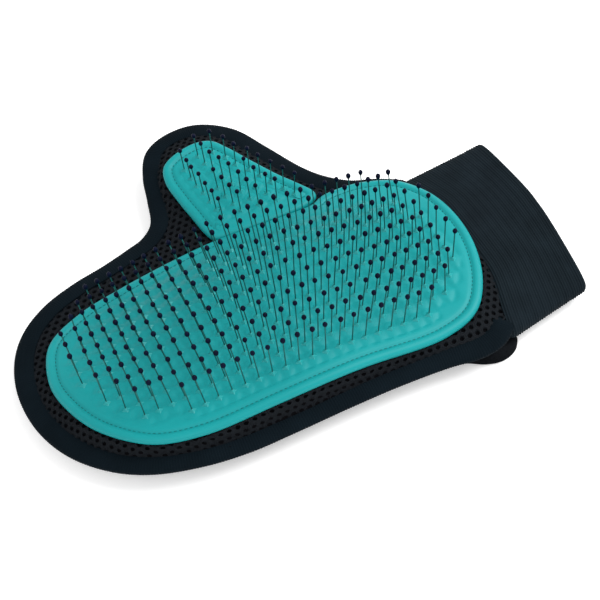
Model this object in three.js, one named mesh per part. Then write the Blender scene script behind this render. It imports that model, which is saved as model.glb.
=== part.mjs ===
// Pet grooming glove lying on its back panel, bristles up. Millimetres, +Z up.
// +X runs from the fingertips to the cuff, +Y towards the thumb.
// The origin is the bottom centre of the bounding box.
import * as THREE from 'three';

// Where the bristle grid of the palm pad is centred, and the top of the pad's dome.
const PALM_X = -9.05;
const PALM_Y = -37.4;
const PAD_TOP = 25;

// The palm pad's dome: half lengths that scale it, and the fall of each term.
const DOME_HALF_X = 81;
const DOME_HALF_Y = 43.7;
const SOFT_FALL = 14;

// Layers from the top down.
const PAD_THICK = 3;
const PAD_ROLL = 1.5;
const BACKING_GAP = 0.35;
const BACKING_THICK = 0.8;
const LAYER_GAP = 1;
const PANEL_THICK = 1.4;
const PANEL_DROP = PAD_THICK + BACKING_GAP + BACKING_THICK + LAYER_GAP;

// Bristles: grid pitch, wire, ball tip and the low moulded rib each row stands on.
const PITCH_X = 5.8;
const PITCH_Y = 7.29;
const PIN_LENGTH = 17.3;
const WIRE_RADIUS = 0.32;
const TIP_RADIUS = 0.95;
const TIP_HEIGHT = 2.3;
const RIB_HALF_WIDTH = 1.2;
const RIB_HEIGHT = 0.7;
const RIB_GAP = 0.5;

// Hinge line of the thumb section along the crease between the two pads.
const CREASE_Y = PALM_Y + 56;
const THUMB_RISE = 0.15;
const THUMB_SIDE_FALL = 0.01;

// Folded binding tape around the outer seam.
const TAPE_HALF_WIDTH = 3.75;
const TAPE_HALF_THICK = 2.1;
const TAPE_TILT = 12 * Math.PI / 180;
const SEAM_REACH = TAPE_HALF_WIDTH + 0.45;

// Elastic cuff: a flattened tube sewn to the wrist ends of the panels.
const CUFF_WALL = 1.4;
const HEM_WALL = 1.9;
const CUFF_GAP = 0.3;
const CUFF_CLEARANCE = 3.4;
const CUFF_REACH = 128.4;
const CUFF_HALF_WIDTH = [49.5, 49];
const CUFF_HALF_HEIGHT = [7, 6.4];
const CUFF_SQUARENESS = 0.6;
const SEAM_BAND_END = 0.1;
const HEM_START = 0.82;

const assembly = new THREE.Group();
assembly.name = 'grooming_glove';

const RUBBER = new THREE.MeshStandardMaterial({ name: 'pad_rubber', color: 0x24ada8, roughness: 0.55 });
const STEEL = new THREE.MeshStandardMaterial({ name: 'pin_steel', color: 0x7f8a86, roughness: 0.35, metalness: 1 });
const MESH = new THREE.MeshStandardMaterial({ name: 'air_mesh', color: 0x14161a, roughness: 0.9 });
const BACKING = new THREE.MeshStandardMaterial({ name: 'backing_cloth', color: 0x1d2026, roughness: 0.9 });
const TAPE = new THREE.MeshStandardMaterial({ name: 'binding_tape', color: 0x1e2630, roughness: 0.85 });
const ELASTIC = new THREE.MeshStandardMaterial({ name: 'cuff_elastic', color: 0x1e252a, roughness: 0.9 });

const clamp = THREE.MathUtils.clamp;
const lerp = THREE.MathUtils.lerp;
const smoothstep = THREE.MathUtils.smoothstep;


// A point in palm coordinates, measured from the centre of the bristle grid.
function palmPoint(x, y, z = 0) {
  return new THREE.Vector3(PALM_X + x, PALM_Y + y, z);
}

function curve(points, closed) {
  return new THREE.CatmullRomCurve3(points, closed, 'centripetal');
}

// Top of the palm pad: a dome that falls towards the fingertips and the thumb.
function palmTop(x, y) {
  const along = (x - PALM_X) / DOME_HALF_X;
  const across = (y - PALM_Y) / DOME_HALF_Y;
  const u = clamp(along, -0.93, 0.9);
  const v = clamp(across, -1.0, 1.28);
  const beyond = Math.abs(along - u);
  const lengthwise = -15.2 * u * u + 1.97 * u ** 3 + 9.16 * u ** 4;
  const sideways = -3.94 * v * v - 2.61 * v ** 3;
  const twist = 2.96 * u * v - 3.89 * u * u * v - 0.29 * u * v * v;
  const fall = 22 * beyond * beyond - lengthwise - sideways - twist;
  return PAD_TOP - fall / Math.cbrt(1 + Math.abs(fall / SOFT_FALL) ** 3);
}

// Top of the thumb pad: a nearly flat sheet that rises away from the crease.
function thumbTop(x, y) {
  const fromCrease = y - CREASE_Y;
  const fromLeft = x - PALM_X + 7;
  const middle = PALM_X + 20 - 0.3 * fromCrease;
  const crown = 0.5 * ((x - middle) / 22) ** 2;
  return PAD_TOP - 10.8 + THUMB_RISE * fromCrease - THUMB_SIDE_FALL * fromLeft - Math.min(crown, 0.5);
}

function addNode(name, geometry, material) {
  const mesh = new THREE.Mesh(geometry, material.clone());
  mesh.name = name;
  assembly.add(mesh);
}

function makeGeometry(vertices, faces) {
  const geometry = new THREE.BufferGeometry();
  geometry.setAttribute('position', new THREE.Float32BufferAttribute(vertices.flat(), 3));
  geometry.setIndex(faces.flat());
  geometry.computeVertexNormals();
  return geometry;
}

function quad(faces, a, b, c, d) {
  faces.push([a, b, c], [a, c, d]);
}

// A curved sheet over a star-shaped outline. heights(x, y, share, index) gives [top, underside]
// at each grid point; share runs from 0 at the centre to 1 at the outline.
function sheet(outline, centre, shares, heights) {
  const vertices = [];
  const faces = [];
  const count = outline.length;
  const middle = heights(centre.x, centre.y, 0, 0);
  vertices.push([centre.x, centre.y, middle[0]], [centre.x, centre.y, middle[1]]);
  for (const share of shares) {
    for (let i = 0; i < count; i += 1) {
      const x = lerp(centre.x, outline[i].x, share);
      const y = lerp(centre.y, outline[i].y, share);
      const [top, under] = heights(x, y, share, i);
      vertices.push([x, y, top], [x, y, under]);
    }
  }
  const at = (ring, i, side) => 2 + 2 * (ring * count + (i % count)) + side;
  for (let i = 0; i < count; i += 1) {
    faces.push([0, at(0, i, 0), at(0, i + 1, 0)]);
    faces.push([1, at(0, i + 1, 1), at(0, i, 1)]);
    for (let ring = 0; ring < shares.length - 1; ring += 1) {
      quad(faces, at(ring, i, 0), at(ring + 1, i, 0), at(ring + 1, i + 1, 0), at(ring, i + 1, 0));
      quad(faces, at(ring, i, 1), at(ring, i + 1, 1), at(ring + 1, i + 1, 1), at(ring + 1, i, 1));
    }
    const last = shares.length - 1;
    quad(faces, at(last, i, 0), at(last, i, 1), at(last, i + 1, 1), at(last, i + 1, 0));
  }
  return makeGeometry(vertices, faces);
}

// A solid bar along a list of rings; each ring is a list of points counter-clockwise
// seen from the bar's far end. The two ends are flat fans.
function bar(rings) {
  const vertices = [];
  const faces = [];
  const count = rings[0].length;
  for (const ring of rings) {
    for (const point of ring) vertices.push([point.x, point.y, point.z]);
  }
  const at = (ring, i) => ring * count + (i % count);
  for (let ring = 0; ring < rings.length - 1; ring += 1) {
    for (let i = 0; i < count; i += 1) {
      quad(faces, at(ring, i), at(ring, i + 1), at(ring + 1, i + 1), at(ring + 1, i));
    }
  }
  for (let i = 1; i < count - 1; i += 1) {
    faces.push([at(0, 0), at(0, i + 1), at(0, i)]);
    faces.push([at(rings.length - 1, 0), at(rings.length - 1, i), at(rings.length - 1, i + 1)]);
  }
  return makeGeometry(vertices, faces);
}

// ---------------------------------------------------------------- outlines

const PALM_PAD_EDGE = [
  palmPoint(-97.2, 13), palmPoint(-93.8, -6), palmPoint(-85.5, -23), palmPoint(-70, -38.4),
  palmPoint(-50, -45.2), palmPoint(-18, -46.5), palmPoint(20, -45.5), palmPoint(56, -45.4),
  palmPoint(72.5, -39.5), palmPoint(82.5, -26.8), palmPoint(89.6, -7), palmPoint(91.3, 14),
  palmPoint(88.2, 34), palmPoint(80.4, 48.4), palmPoint(67, 55.6), palmPoint(50, 55.8),
  palmPoint(34, 54), palmPoint(10, 54.2), palmPoint(-8, 54.9), palmPoint(-30, 53.3),
  palmPoint(-54, 50.5), palmPoint(-75, 45.4), palmPoint(-91, 34.5),
];

const THUMB_PAD_EDGE = [
  palmPoint(-5, 57), palmPoint(20, 56.6), palmPoint(44, 57), palmPoint(46.2, 61),
  palmPoint(41, 69), palmPoint(35, 77.3), palmPoint(27.4, 89.5), palmPoint(20, 102),
  palmPoint(14.5, 109), palmPoint(7, 111), palmPoint(-5, 108.6), palmPoint(-12, 104),
  palmPoint(-14.2, 96), palmPoint(-13, 84), palmPoint(-11, 73), palmPoint(-8.3, 61),
];

// Middle line of each length of binding tape, counter-clockwise seen from above.
const FINGER_BINDING = [
  palmPoint(-26.8, 78.8, 8.9), palmPoint(-32.3, 74.3, 8.5), palmPoint(-41.5, 71.3, 8),
  palmPoint(-55.2, 68.1, 7.5), palmPoint(-69.9, 64, 7.5), palmPoint(-84.6, 58.1, 7.5),
  palmPoint(-95.8, 49.3, 7.5), palmPoint(-103, 37.8, 7.5), palmPoint(-106.6, 21, 7.5),
  palmPoint(-104.7, 0.6, 7.8), palmPoint(-97.6, -17.3, 8.5), palmPoint(-85.9, -31.7, 9.5),
  palmPoint(-72.5, -41, 10.5), palmPoint(-54, -47.3, 11), palmPoint(-35.7, -50, 11),
  palmPoint(-15.6, -50.3, 11), palmPoint(8, -49.5, 11), palmPoint(30, -49.4, 11),
  palmPoint(53, -50.4, 10.5), palmPoint(68, -53.2, 9.5), palmPoint(76.5, -52, 9),
  palmPoint(79.5, -47.5, 9),
];

const WRIST_BINDING = [
  palmPoint(85, 49, 7.5), palmPoint(75.6, 57, 7.5), palmPoint(63.8, 62.8, 7.7), palmPoint(54.2, 69.6, 8),
];

const THUMB_BINDING = [
  palmPoint(51.6, 72.8, 8.2), palmPoint(45.7, 81.9, 9), palmPoint(35.5, 101.4, 11.5), palmPoint(26.2, 117.8, 13.5),
  palmPoint(12.3, 126.6, 15), palmPoint(-1.7, 127.5, 15), palmPoint(-12, 121.8, 14.6), palmPoint(-17.7, 109.6, 13),
  palmPoint(-20.5, 96, 11.4), palmPoint(-24.2, 82.7, 9.3),
];

// Points on the inner side of a length of tape, with the height of the seam.
function seamPoints(path, count, from = 0, to = 1) {
  const line = curve(path, false);
  const points = [];
  for (let i = 0; i < count; i += 1) {
    const share = lerp(from, to, i / (count - 1));
    const here = line.getPointAt(share);
    const along = line.getTangentAt(share);
    const flat = Math.hypot(along.x, along.y);
    const reach = SEAM_REACH * Math.cos(TAPE_TILT);
    points.push(new THREE.Vector3(
      here.x - along.y / flat * reach,
      here.y + along.x / flat * reach,
      here.z + SEAM_REACH * Math.sin(TAPE_TILT),
    ));
  }
  return points;
}

// Each edge point is { x, y, front, back }: the top of the front panel and the underside of the back panel there.
function seamEdge(points) {
  return points.map((p) => ({ x: p.x, y: p.y, front: p.z + 1.65, back: p.z - 1.65 }));
}

function wristX(y) {
  const local = y - PALM_Y;
  const low = smoothstep(-local, 15, 55);
  return PALM_X + 92.5 - 5.5 * low;
}

function palmEdge() {
  const edge = [];
  edge.push({ x: PALM_X + 49.6, y: CREASE_Y + 2.4, front: 9, back: 2 });
  edge.push({ x: PALM_X + 48, y: CREASE_Y - 1.4, front: palmTop(PALM_X + 48, CREASE_Y) - PANEL_DROP, back: 0 });
  for (const x of [30, 12, -7]) {
    edge.push({ x: PALM_X + x, y: CREASE_Y - 1.4, front: palmTop(PALM_X + x, CREASE_Y) - PANEL_DROP, back: 0 });
  }
  edge.push({ x: PALM_X - 12.5, y: CREASE_Y + 5.5, front: 9.1, back: 1 });
  edge.push({ x: PALM_X - 18.5, y: CREASE_Y + 13, front: 9.6, back: 3 });
  edge.push(...seamEdge(seamPoints(FINGER_BINDING, 25, 0.02, 0.955)));
  for (const y of [-42, -26, -8, 10, 28, 40]) {
    const wide = smoothstep(Math.abs(y - 2), 20, 46);
    const x = wristX(PALM_Y + y) - CUFF_CLEARANCE;
    const front = Math.min(lerp(14.5, 11.2, wide), palmTop(x, PALM_Y + y) - PANEL_DROP);
    edge.push({ x, y: PALM_Y + y, front, back: lerp(0.4, 4.5, wide) });
  }
  edge.push(...seamEdge(seamPoints(WRIST_BINDING, 4, 0.2, 0.97)));
  return edge;
}

function thumbEdge() {
  const edge = [];
  for (const x of [-7, 11, 29, 47]) {
    const under = x > -7 && x < 47 ? 0.1 : 2.2;
    edge.push({ x: PALM_X + x, y: CREASE_Y + 1.4, front: thumbTop(PALM_X + x, CREASE_Y) - PANEL_DROP, back: under });
  }
  edge.push(...seamEdge(seamPoints(THUMB_BINDING, 16, 0.03, 0.97)));
  return edge;
}

// ---------------------------------------------------------------- pads

function padSheet(edgePoints, count, centre, topAt) {
  const outline = curve(edgePoints, true).getSpacedPoints(count).slice(0, count);
  const shares = [0.3, 0.55, 0.76, 0.9, 0.965, 1];
  const roll = (share) => PAD_ROLL * Math.max(0, (share - 0.93) / 0.07) ** 2;
  const pad = sheet(outline, centre, shares, (x, y, share) => [
    topAt(x, y) - roll(share),
    topAt(x, y) - PAD_THICK,
  ]);
  const inner = outline.map((p) => new THREE.Vector3().lerpVectors(centre, p, 0.95));
  const backing = sheet(inner, centre, shares, (x, y) => [
    topAt(x, y) - PAD_THICK - BACKING_GAP,
    topAt(x, y) - PAD_THICK - BACKING_GAP - BACKING_THICK,
  ]);
  return [pad, backing];
}

const [palmPad, palmBacking] = padSheet(PALM_PAD_EDGE, 38, palmPoint(-2, 4), palmTop);
addNode('palm_pad', palmPad, RUBBER);
addNode('palm_pad_backing', palmBacking, BACKING);
const [thumbPad, thumbBacking] = padSheet(THUMB_PAD_EDGE, 24, palmPoint(9, 82), thumbTop);
addNode('thumb_pad', thumbPad, RUBBER);
addNode('thumb_pad_backing', thumbBacking, BACKING);

// ---------------------------------------------------------------- bristle rows

function normalOf(topAt, x, y) {
  const step = 0.5;
  const slopeX = (topAt(x + step, y) - topAt(x - step, y)) / (2 * step);
  const slopeY = (topAt(x, y + step) - topAt(x, y - step)) / (2 * step);
  return new THREE.Vector3(-slopeX, -slopeY, 1).normalize();
}

// One row: a low rib on the pad with a wire pin and its ball tip at every x. The first pin
// stands at y, each millimetre along the row takes skew off that, and the pins lean by lean.
function bristleRow(topAt, y, xs, pitch, skew, lean) {
  const vertices = [];
  const faces = [];
  const push = (p) => vertices.push([p.x, p.y, p.z]) - 1;
  const rowY = (x) => y - skew * (x - xs[0]);
  const edges = [xs[0] - pitch / 2, ...xs.map((x) => x + pitch / 2)];
  const ribs = edges.map((x) => {
    const near = rowY(x) - RIB_HALF_WIDTH;
    const far = rowY(x) + RIB_HALF_WIDTH;
    const low = topAt(x, near) + RIB_GAP;
    const high = topAt(x, far) + RIB_GAP;
    return [
      push(new THREE.Vector3(x, near, low)),
      push(new THREE.Vector3(x, far, high)),
      push(new THREE.Vector3(x, far, high + RIB_HEIGHT)),
      push(new THREE.Vector3(x, near, low + RIB_HEIGHT)),
    ];
  });
  const first = ribs[0];
  const last = ribs[ribs.length - 1];
  quad(faces, first[0], first[3], first[2], first[1]);
  quad(faces, last[0], last[1], last[2], last[3]);
  xs.forEach((x, index) => {
    const a = ribs[index];
    const b = ribs[index + 1];
    quad(faces, a[0], a[1], b[1], b[0]);
    quad(faces, a[0], b[0], b[3], a[3]);
    quad(faces, a[1], a[2], b[2], b[1]);
    const foot = new THREE.Vector3(x, rowY(x), topAt(x, rowY(x)) + RIB_GAP + RIB_HEIGHT);
    const up = normalOf(topAt, x, rowY(x)).add(lean).normalize();
    const side = new THREE.Vector3(1, 0, 0).addScaledVector(up, -up.x).normalize();
    const front = new THREE.Vector3().crossVectors(up, side);
    const ring = (height, radius) => [210, 330, 90].map((angle) => push(
      foot.clone().addScaledVector(up, height)
        .addScaledVector(side, radius * Math.cos(angle * Math.PI / 180))
        .addScaledVector(front, radius * Math.sin(angle * Math.PI / 180)),
    ));
    const base = ring(0, WIRE_RADIUS);
    const neck = ring(PIN_LENGTH - TIP_HEIGHT * 0.6, WIRE_RADIUS);
    const waist = ring(PIN_LENGTH, TIP_RADIUS);
    const peak = push(foot.clone().addScaledVector(up, PIN_LENGTH + TIP_HEIGHT * 0.4));
    faces.push([a[3], b[3], base[1]], [a[3], base[1], base[0]], [b[3], b[2], base[1]]);
    faces.push([b[2], base[2], base[1]], [b[2], a[2], base[2]]);
    faces.push([a[2], base[0], base[2]], [a[2], a[3], base[0]]);
    for (let k = 0; k < 3; k += 1) {
      const next = (k + 1) % 3;
      quad(faces, base[k], base[next], neck[next], neck[k]);
      quad(faces, neck[k], neck[next], waist[next], waist[k]);
      faces.push([waist[k], waist[next], peak]);
    }
  });
  return makeGeometry(vertices, faces);
}

// Row number, then the first and last column of pins on it.
const PALM_ROWS = [
  [-6, -9, 9], [-5, -12, 11], [-4, -13, 12], [-3, -14, 13], [-2, -14, 13], [-1, -15, 13],
  [0, -15, 13], [1, -15, 13], [2, -14, 12], [3, -13, 12], [4, -12, 10],
];
const ROW_SHIFT = 1.482;
const COLUMN_SHIFT = 0.414;

PALM_ROWS.forEach(([row, first, last], index) => {
  const xs = [];
  for (let column = first; column <= last; column += 1) xs.push(PALM_X + (column + COLUMN_SHIFT) * PITCH_X);
  const y = PALM_Y + (row + ROW_SHIFT) * PITCH_Y;
  const pins = bristleRow(palmTop, y, xs, PITCH_X, 0, new THREE.Vector3());
  addNode(`palm_bristle_row_${String(index + 1).padStart(2, '0')}`, pins, STEEL);
});

// Thumb rows fan out towards the crease: distance from the crease of the first pin, x of the
// first and last pins, and the number of pins.
const THUMB_ROWS = [
  [9.7, 2.1, 37, 5], [14.4, 1, 33.7, 5], [19.9, 0.2, 30, 5], [25.6, -0.6, 27, 5],
  [30.7, -1.9, 23.9, 3], [35.9, -2.5, 19.3, 3], [41.6, -3.5, 16.7, 3], [46.3, 5.3, 12.5, 2],
];
const THUMB_ROW_SKEW = 0.06;
const THUMB_PIN_LEAN = new THREE.Vector3(-0.08, -0.12, 0);

THUMB_ROWS.forEach(([reach, first, last, count], index) => {
  const xs = [];
  for (let pin = 0; pin < count; pin += 1) xs.push(PALM_X + lerp(first, last, pin / (count - 1)));
  const pitch = Math.min((last - first) / (count - 1), PITCH_X);
  const pins = bristleRow(thumbTop, CREASE_Y + reach, xs, pitch, THUMB_ROW_SKEW, THUMB_PIN_LEAN);
  addNode(`thumb_bristle_row_${index + 1}`, pins, STEEL);
});

// ---------------------------------------------------------------- mesh panels

function isInside(outline, x, y) {
  let inside = false;
  for (let i = 0, j = outline.length - 1; i < outline.length; j = i, i += 1) {
    const a = outline[i];
    const b = outline[j];
    const crosses = (a.y > y) !== (b.y > y) && x < (b.x - a.x) * (y - a.y) / (b.y - a.y) + a.x;
    if (crosses) inside = !inside;
  }
  return inside;
}

// The share of the way from the centre to an edge point at which the pad's own edge is met.
function padShare(padOutline, centre, point) {
  let share = 1;
  while (share > 0.4 && !isInside(padOutline, lerp(centre.x, point.x, share), lerp(centre.y, point.y, share))) {
    share -= 0.01;
  }
  return share;
}

// The front panel lies under the pad and its backing, then runs on to the seam.
function frontPanel(edge, centre, padEdge, topAt, shares) {
  const padOutline = curve(padEdge, true).getSpacedPoints(120);
  const ends = edge.map((point) => padShare(padOutline, centre, point));
  return sheet(edge, centre, shares, (x, y, share, index) => {
    const end = Math.min(ends[index] + 0.015, 0.965);
    const kept = Math.min(1, end / Math.max(share, 0.01));
    const underPad = topAt(lerp(centre.x, x, kept), lerp(centre.y, y, kept)) - PANEL_DROP;
    const top = lerp(underPad, edge[index].front, smoothstep(share, end, 1));
    return [top, top - PANEL_THICK];
  });
}

// The back panel is flat where it rests and curls up to the seam.
function backPanel(edge, centre, baseAt, shares, curlFrom) {
  return sheet(edge, centre, shares, (x, y, share, index) => {
    const curl = ((share - curlFrom) / (1 - curlFrom));
    const under = lerp(baseAt(x, y), edge[index].back, curl > 0 ? curl ** 2 : 0);
    return [under + PANEL_THICK, under];
  });
}

const PANEL_SHARES = [0.34, 0.62, 0.8, 0.9, 0.96, 1];
const palmOutline = palmEdge();
addNode('palm_front_panel', frontPanel(palmOutline, palmPoint(-2, 4), PALM_PAD_EDGE, palmTop, PANEL_SHARES), MESH);
addNode('palm_back_panel', backPanel(palmOutline, palmPoint(-2, 4), () => 0, PANEL_SHARES, 0.8), MESH);

const thumbOutline = thumbEdge();
const THUMB_MIDDLE = palmPoint(9, 84);
const thumbBase = (x, y) => Math.max(0.1, 0.06 * (y - CREASE_Y));
addNode('thumb_front_panel', frontPanel(thumbOutline, THUMB_MIDDLE, THUMB_PAD_EDGE, thumbTop, PANEL_SHARES), MESH);
addNode('thumb_back_panel', backPanel(thumbOutline, THUMB_MIDDLE, thumbBase, PANEL_SHARES, 0.6), MESH);

// ---------------------------------------------------------------- binding

// Tape folded over the seam: a flattened oval bar that tilts up towards the panels.
function tape(path, stations) {
  const line = curve(path, false);
  const rings = [];
  for (let i = 0; i <= stations; i += 1) {
    const here = line.getPointAt(i / stations);
    const along = line.getTangentAt(i / stations);
    const inward = new THREE.Vector3(-along.y, along.x, 0).normalize();
    const width = inward.clone().multiplyScalar(Math.cos(TAPE_TILT));
    width.z = Math.sin(TAPE_TILT);
    const thick = new THREE.Vector3().crossVectors(along, width).normalize();
    rings.push([0, 45, 90, 135, 180, 225, 270, 315].map((angle) => {
      const turn = angle * Math.PI / 180;
      return here.clone()
        .addScaledVector(width, Math.cos(turn) * TAPE_HALF_WIDTH)
        .addScaledVector(thick, Math.sin(turn) * TAPE_HALF_THICK);
    }));
  }
  return bar(rings);
}

addNode('finger_binding', tape(FINGER_BINDING, 30), TAPE);
addNode('wrist_binding', tape(WRIST_BINDING, 6), TAPE);
addNode('thumb_binding', tape(THUMB_BINDING, 16), TAPE);

// ---------------------------------------------------------------- cuff

// The mouth is nearly straight and slants back on the little-finger side.
function cuffEndX(y) {
  const below = 12 - (y - PALM_Y);
  return PALM_X + CUFF_REACH - 0.055 * (below + Math.hypot(below, 8));
}

// A length of the flattened cuff tube between two shares of its length; trimStart opens the
// gap to the length before it.
function cuffLength(from, to, steps, wall, trimStart) {
  const count = 24;
  const outer = [];
  const inner = [];
  for (let step = 0; step <= steps; step += 1) {
    const share = lerp(from, to, step / steps);
    const shift = step === 0 ? trimStart : 0;
    const middleY = PALM_Y + lerp(-1.3, 6, share);
    const halfWidth = lerp(...CUFF_HALF_WIDTH, share);
    const halfHeight = lerp(...CUFF_HALF_HEIGHT, share);
    const middleZ = lerp(7.8, 7, share);
    const ringAt = (inset) => {
      const ring = [];
      for (let i = 0; i < count; i += 1) {
        const turn = i / count * 2 * Math.PI;
        const wide = Math.sign(Math.cos(turn)) * Math.abs(Math.cos(turn)) ** CUFF_SQUARENESS;
        const high = Math.sign(Math.sin(turn)) * Math.abs(Math.sin(turn)) ** CUFF_SQUARENESS;
        const y = middleY + wide * (halfWidth - inset);
        const z = middleZ + high * (halfHeight - inset);
        ring.push([lerp(wristX(y), cuffEndX(y), share) + shift, y, z]);
      }
      return ring;
    };
    outer.push(ringAt(0));
    inner.push(ringAt(wall));
  }
  const vertices = [...outer.flat(), ...inner.flat()];
  const faces = [];
  const out = (step, i) => step * count + (i % count);
  const into = (step, i) => (steps + 1 + step) * count + (i % count);
  for (let i = 0; i < count; i += 1) {
    for (let step = 0; step < steps; step += 1) {
      quad(faces, out(step, i), out(step, i + 1), out(step + 1, i + 1), out(step + 1, i));
      quad(faces, into(step, i), into(step + 1, i), into(step + 1, i + 1), into(step, i + 1));
    }
    quad(faces, out(0, i), into(0, i), into(0, i + 1), out(0, i + 1));
    quad(faces, out(steps, i), out(steps, i + 1), into(steps, i + 1), into(steps, i));
  }
  return makeGeometry(vertices, faces);
}

addNode('cuff_seam_band', cuffLength(0, SEAM_BAND_END, 1, CUFF_WALL, 0), ELASTIC);
addNode('cuff_band', cuffLength(SEAM_BAND_END, HEM_START, 3, CUFF_WALL, CUFF_GAP), ELASTIC);
addNode('cuff_hem', cuffLength(HEM_START, 1, 1, HEM_WALL, CUFF_GAP), ELASTIC);

export default assembly;
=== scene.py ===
import math

import bpy
import numpy as np
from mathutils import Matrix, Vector


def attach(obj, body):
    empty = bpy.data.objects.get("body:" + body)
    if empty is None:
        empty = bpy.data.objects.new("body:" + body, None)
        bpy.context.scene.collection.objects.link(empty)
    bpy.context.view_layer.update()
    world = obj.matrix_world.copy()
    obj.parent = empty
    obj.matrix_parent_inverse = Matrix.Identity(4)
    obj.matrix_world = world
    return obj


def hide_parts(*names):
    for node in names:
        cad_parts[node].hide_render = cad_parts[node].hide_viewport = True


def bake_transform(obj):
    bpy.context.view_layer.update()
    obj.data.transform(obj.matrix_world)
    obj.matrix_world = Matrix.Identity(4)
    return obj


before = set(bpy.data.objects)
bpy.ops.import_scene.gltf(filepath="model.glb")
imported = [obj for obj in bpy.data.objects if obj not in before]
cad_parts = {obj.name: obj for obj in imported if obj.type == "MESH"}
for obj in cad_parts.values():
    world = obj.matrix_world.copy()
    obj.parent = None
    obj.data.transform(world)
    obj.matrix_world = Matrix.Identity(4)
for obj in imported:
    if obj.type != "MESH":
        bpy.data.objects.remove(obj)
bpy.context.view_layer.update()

# Lengths below are millimetres in the frame; MM turns them into metres.
MM = 0.001

# The palm pad: middle of its bristle grid, top of its dome, half the dome's length and width, the
# most that its surface falls below the top, and its thickness.
PALM = np.array([-9.05, -37.4])
PAD_TOP = 25.0
DOME_HALF = (81.0, 43.7)
SOFT_FALL = 14.0
PAD_THICK = 3.0
# The crease between the pads, and how the thumb pad starts below the palm's top and rises.
CREASE_Y = PALM[1] + 56.0
THUMB_DROP = 10.8
THUMB_RISE = 0.15

# Bristles. The palm's grid is off its middle by these shares of a pitch.
PITCH_X = 5.8
PITCH_Y = 7.29
COLUMN_SHIFT = 0.414
ROW_SHIFT = 1.482
PIN_LENGTH = 17.3
WIRE_RADIUS = 0.27
TIP_RADIUS = 1.04
TIP_HEIGHT = 2.9
# Rows of the palm pad: row number, first column and last column.
PALM_ROWS = [
    (-6, -9, 9), (-5, -12, 11), (-4, -13, 12), (-3, -14, 13), (-2, -14, 13), (-1, -15, 13),
    (0, -15, 13), (1, -15, 13), (2, -14, 12), (3, -13, 12), (4, -12, 10),
]
# Rows of the thumb pad: distance from the crease, x of the first and last pins, number of pins.
THUMB_ROWS = [
    (9.7, 2.1, 37, 5), (14.4, 1, 33.7, 5), (19.9, 0.2, 30, 5), (25.6, -0.6, 27, 5),
    (30.7, -1.9, 23.9, 3), (35.9, -2.5, 19.3, 3), (41.6, -3.5, 16.7, 3), (46.3, 5.3, 12.5, 2),
]
THUMB_ROW_SKEW = 0.06
# The thumb's pins lean this much more towards the fingers and the palm.
THUMB_PIN_LEAN = np.array([-0.08, -0.12, 0])

# Outlines, measured from the middle of the palm pad.
PALM_PAD_EDGE = [
    (-97.4, 13), (-94, -6), (-85.8, -23), (-70.3, -38.6), (-50, -45.4), (-18, -46.6), (20, -45.5),
    (56, -45.5), (73, -39.8), (83.4, -27), (90.6, -8), (92.8, 14), (89.9, 34), (81.5, 49.5),
    (68, 57), (54, 58.4), (46.6, 57.2), (41, 54.2), (30, 53), (10, 53.2), (-8, 54.2), (-30, 53.3),
    (-54, 50.5), (-75, 45.6), (-91.4, 34.8),
]
THUMB_PAD_EDGE = [
    (-6.5, 56.5), (-4, 55.4), (10, 54.4), (30, 54.2), (40, 55.5), (45.3, 58.6), (45.6, 61.5),
    (41, 69), (35, 77.3), (27.4, 89.5), (20, 102), (14.5, 109), (7, 111), (-5, 108.6), (-12, 104),
    (-14.2, 96), (-13, 84), (-11, 73), (-8.6, 61),
]
# Both outlines are set this much towards the cuff and the thumb.
PAD_SHIFT = (0.3, 0.6)
# Points inside the pads that their rings of vertices close in on.
PALM_PAD_MIDDLE = (-2, 4)
THUMB_PAD_MIDDLE = (9, 82)

# Middle line of the binding tape: wrist, thumb, finger side, fingertips, little-finger side.
BINDING_PATH = [
    (87.3, 47.8, 8), (75.3, 56.5, 7.5), (63.4, 62, 7.7), (52.9, 71.6, 8.1), (45.7, 81.9, 9),
    (35.7, 101.6, 11.5), (26.4, 118.1, 13.5), (12.3, 127.2, 15), (-1.7, 127.3, 15),
    (-11.8, 121.6, 14.6), (-17.5, 109.4, 13), (-20.5, 95.9, 11.4), (-24.5, 81.8, 9.2),
    (-32.3, 74.3, 8.5), (-41.5, 71.3, 8), (-55.2, 67.5, 7.5), (-69.9, 63.9, 7.5),
    (-84.6, 58.1, 7.5), (-95.6, 49.5, 7.5), (-102.9, 37.8, 7.5), (-106.7, 21, 7.5),
    (-104.9, 0.6, 7.8), (-97.6, -17.3, 8.5), (-85.7, -31.7, 9.5), (-72.5, -41, 10.5),
    (-53.9, -47.3, 11), (-35.7, -49.8, 11), (-15.6, -49.8, 11), (7.9, -49.2, 11),
    (30, -49.2, 11), (53, -50.4, 10.8), (68, -52.3, 10.6), (77, -50.6, 10.8), (82.5, -46.5, 11.2),
    (85.5, -41.5, 11.2),
]
# The tape's section: half its width and thickness, its tilt, and how far in from its line it is.
TAPE_HALF_WIDTH = 4.7
TAPE_HALF_THICK = 2.1
TAPE_TILT = math.radians(12)
TAPE_INSET = 0.7
# Along the wrist side of the thumb the tape is wider: how much, where and over what share.
TAPE_EXTRA = 1.3
TAPE_EXTRA_AT = 0.14
TAPE_EXTRA_SPREAD = 0.07
# The strip's thickness, half the angle left open where the cloth goes in, and the number of
# points along each of its faces.
TAPE_WALL = 0.8
TAPE_MOUTH = math.radians(12)
TAPE_SIDES = 30
# Ribs across the tape: their spacing, vertices to each of them, and their height.
TAPE_RIB = 1.1
TAPE_RIB_STEPS = 4
TAPE_RIB_HEIGHT = 0.11
# Length over which the tape thins out towards its ends, and the share of its thickness left there.
TAPE_TAPER = 4.0
TAPE_END_SHARE = 0.12

# Mesh cloth: honeycomb pitch, row spacing, the share of a cell that is open, and its depth.
NET_PITCH = 3.7
NET_ROW = 3.0
NET_OPEN = 0.56
NET_DEPTH = 0.9


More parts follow.
